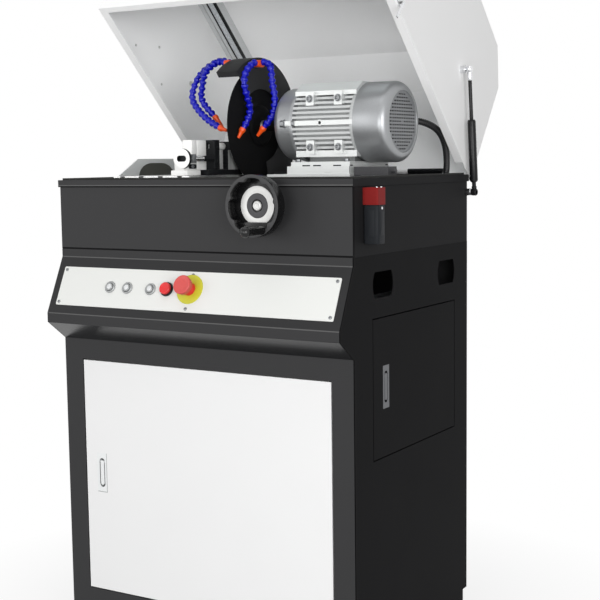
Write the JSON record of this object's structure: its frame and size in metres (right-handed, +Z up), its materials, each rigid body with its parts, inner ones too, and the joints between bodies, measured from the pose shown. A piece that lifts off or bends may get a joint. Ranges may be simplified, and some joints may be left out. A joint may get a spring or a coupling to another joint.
{
  "type": "metallographic cutting machine",
  "caption": "Floor-standing metallographic cutting machine with an open white hood, abrasive wheel, finned motor, vise, coolant hoses, handwheel feed and a dark cabinet with a white door.",
  "frame": {"origin": "on the floor, under the middle of the cabinet", "axes": "X right as seen from the front, Y to the back, Z up"},
  "size_m": [0.782, 0.827, 1.4797],
  "materials": {
    "cabinet_black": "fine-textured charcoal powder coat",
    "rim_steel": "charcoal powder coat with a black seal",
    "panel_white": "smooth white powder coat",
    "hood_white": "white enamel outside, pale grey inside",
    "window_clear": "clear safety pane",
    "lamp_aluminium": "satin anodised",
    "dark_steel": "dark polished rod",
    "strut_black": "gloss black tube",
    "bright_steel": "ground steel",
    "chrome_trim": "polished",
    "machined_aluminium": "milled",
    "motor_silver": "silver-grey paint on cast aluminium",
    "guard_black": "satin black",
    "abrasive_black": "resin-bonded grit",
    "handwheel_black": "moulded, with a grey rim face and a bright hub plate",
    "hose_blue": "moulded modular hose",
    "nozzle_orange": "moulded",
    "conduit_black": "ribbed black sleeve",
    "signal_red": "moulded red",
    "signal_yellow": "plain yellow disc on a black collar",
    "rubber_black": "moulded pad on a steel stud",
    "inside_grey": "grey tank, pump and switchgear"
  },
  "bodies": {
    "cabinet": {"levelling_feet": "rubber_black", "base_frame": "cabinet_black", "cabinet_left_side": "cabinet_black", "cabinet_right_side": "cabinet_black", "cabinet_back": "cabinet_black", "cabinet_front_frame": "cabinet_black", "console_shell": "cabinet_black", "console_plate": "panel_white", "button_bezels": "chrome_trim", "emergency_stop_base": "signal_yellow", "tub_shell": "cabinet_black", "rim_band": "rim_steel", "tslot_table": "bright_steel", "vise_body": "guard_black", "vise_front_block": "bright_steel", "slide_rails": "bright_steel", "feed_bearings": "bright_steel", "interlock_switch": "signal_red", "spring_lower_studs": "bright_steel", "side_port_plate": "bright_steel", "coolant_tank": "inside_grey", "coolant_pump": "inside_grey", "electrical_panel": "inside_grey", "conduit": "conduit_black", "hood_hinge": "bright_steel"},
    "vise_jaw": {"vise_moving_jaw": "guard_black"},
    "vise_screw_body": {"vise_screw": "bright_steel"},
    "handwheel_body": {"handwheel": "handwheel_black", "feed_screw": "bright_steel"},
    "handle_body": {"handwheel_handle": "handwheel_black"},
    "carriage_body": {"carriage": "machined_aluminium", "motor_frame": "motor_silver", "motor_end_shield": "motor_silver", "motor_fan_cover": "motor_silver", "motor_terminal_box": "motor_silver", "wheel_guard": "guard_black", "coolant_manifold": "nozzle_orange", "coolant_hoses": "hose_blue", "coolant_nozzles": "nozzle_orange"},
    "spindle_body": {"spindle": "bright_steel", "abrasive_wheel": "abrasive_black"},
    "hood": {"hood_shell": "hood_white", "hood_window": "window_clear", "hood_lamp": "lamp_aluminium", "hood_handle": "dark_steel", "interlock_key": "bright_steel", "spring_upper_studs": "bright_steel"},
    "spring_tube_right": {"gas_spring_cylinder_right": "strut_black"},
    "spring_tube_left": {"gas_spring_cylinder_left": "strut_black"},
    "spring_rod_right": {"gas_spring_rod_right": "dark_steel"},
    "spring_rod_left": {"gas_spring_rod_left": "dark_steel"},
    "front_door_body": {"front_door": "panel_white"},
    "front_latch_body": {"front_latch": "chrome_trim"},
    "side_door_body": {"side_door": "panel_white"},
    "side_latch_body": {"side_latch": "chrome_trim"},
    "button_1": {"silver_button_1": "chrome_trim"},
    "button_2": {"silver_button_2": "chrome_trim"},
    "button_3": {"silver_button_3": "chrome_trim"},
    "button_red": {"red_button": "signal_red"},
    "stop_cap": {"emergency_stop_cap": "signal_red"}
  },
  "joints": [
    {"name": "hood_hinge_turn", "type": "hinge", "parent": "cabinet", "child": "hood", "pos_m": [0, 0.2634, 1.0188], "axis": [1, 0, 0], "range_deg": [0, 44.3], "stiffness_Nm_per_rad": 12, "springref_deg": -114.59},
    {"name": "gas_spring_pivot_right", "type": "hinge", "parent": "cabinet", "child": "spring_tube_right", "pos_m": [0.38, 0.255, 0.9715], "axis": [1, 0, 0], "range_deg": [0, 38]},
    {"name": "gas_spring_slide_right", "type": "slide", "parent": "spring_tube_right", "child": "spring_rod_right", "axis": [0, -0.1023, 0.9948], "range_m": [-0.021, 0]},
    {"name": "gas_spring_pivot_left", "type": "hinge", "parent": "cabinet", "child": "spring_tube_left", "pos_m": [-0.38, 0.255, 0.9715], "axis": [1, 0, 0], "range_deg": [0, 38]},
    {"name": "gas_spring_slide_left", "type": "slide", "parent": "spring_tube_left", "child": "spring_rod_left", "axis": [0, -0.1023, 0.9948], "range_m": [-0.021, 0]},
    {"name": "handwheel_turn", "type": "hinge", "parent": "cabinet", "child": "handwheel_body", "pos_m": [0.171, -0.3, 0.96], "axis": [0, 1, 0], "range_deg": [-1802, 1802]},
    {"name": "carriage_feed", "type": "slide", "parent": "cabinet", "child": "carriage_body", "axis": [0, 1, 0], "range_m": [-0.04, 0.04], "deforming": ["conduit"]},
    {"name": "handle_spin", "type": "hinge", "parent": "handwheel_body", "child": "handle_body", "pos_m": [0.195, -0.35, 0.914], "axis": [0, 1, 0], "continuous": true},
    {"name": "spindle_spin", "type": "hinge", "parent": "carriage_body", "child": "spindle_body", "pos_m": [0, 0.029, 1.1225], "axis": [1, 0, 0], "continuous": true},
    {"name": "vise_screw_turn", "type": "hinge", "parent": "vise_jaw", "child": "vise_screw_body", "pos_m": [-0.054, -0.2, 1.052], "axis": [0, 1, 0], "range_deg": [-1, 1442]},
    {"name": "vise_jaw_slide", "type": "slide", "parent": "cabinet", "child": "vise_jaw", "axis": [0, 1, 0], "range_m": [0, 0.016]},
    {"name": "front_door_hinge", "type": "hinge", "parent": "cabinet", "child": "front_door_body", "pos_m": [0.304, -0.257, 0.37], "axis": [0, 0, 1], "range_deg": [0, 110]},
    {"name": "front_latch_turn", "type": "hinge", "parent": "front_door_body", "child": "front_latch_body", "pos_m": [-0.266, -0.2575, 0.4019], "axis": [-1, 0, 0], "range_deg": [0, 35], "stiffness_Nm_per_rad": 0.4, "springref_deg": -20.05},
    {"name": "side_door_hinge", "type": "hinge", "parent": "cabinet", "child": "side_door_body", "pos_m": [0.3555, 0.1879, 0.597], "axis": [0, 0, 1], "range_deg": [0, 110]},
    {"name": "side_latch_turn", "type": "hinge", "parent": "side_door_body", "child": "side_latch_body", "pos_m": [0.356, -0.1318, 0.622], "axis": [0, -1, 0], "range_deg": [0, 35], "stiffness_Nm_per_rad": 0.4, "springref_deg": -20.05},
    {"name": "silver_button_1_press", "type": "slide", "parent": "cabinet", "child": "button_1", "axis": [0, 0.9096, -0.4155], "range_m": [0, 0.0035], "stiffness_N_per_m": 500, "springref_m": -0.004},
    {"name": "silver_button_2_press", "type": "slide", "parent": "cabinet", "child": "button_2", "axis": [0, 0.9096, -0.4155], "range_m": [0, 0.0035], "stiffness_N_per_m": 500, "springref_m": -0.004},
    {"name": "silver_button_3_press", "type": "slide", "parent": "cabinet", "child": "button_3", "axis": [0, 0.9096, -0.4155], "range_m": [0, 0.0035], "stiffness_N_per_m": 500, "springref_m": -0.004},
    {"name": "red_button_press", "type": "slide", "parent": "cabinet", "child": "button_red", "axis": [0, 0.9096, -0.4155], "range_m": [0, 0.0035], "stiffness_N_per_m": 500, "springref_m": -0.004},
    {"name": "emergency_stop_press", "type": "slide", "parent": "cabinet", "child": "stop_cap", "axis": [0, 0.9096, -0.4155], "range_m": [0, 0.004], "stiffness_N_per_m": 1500, "springref_m": -0.004}
  ],
  "couplings": [
    {"joint": "gas_spring_pivot_right", "follows": "hood_hinge_turn", "ratio": 0.84986},
    {"joint": "gas_spring_pivot_left", "follows": "hood_hinge_turn", "ratio": 0.84986},
    {"joint": "gas_spring_slide_right", "follows": "hood_hinge_turn", "m_per_rad": -0.02676},
    {"joint": "gas_spring_slide_left", "follows": "hood_hinge_turn", "m_per_rad": -0.02676},
    {"joint": "handwheel_turn", "follows": "carriage_feed", "rad_per_m": -785.4},
    {"joint": "vise_screw_turn", "follows": "vise_jaw_slide", "rad_per_m": 1570.8}
  ]
}
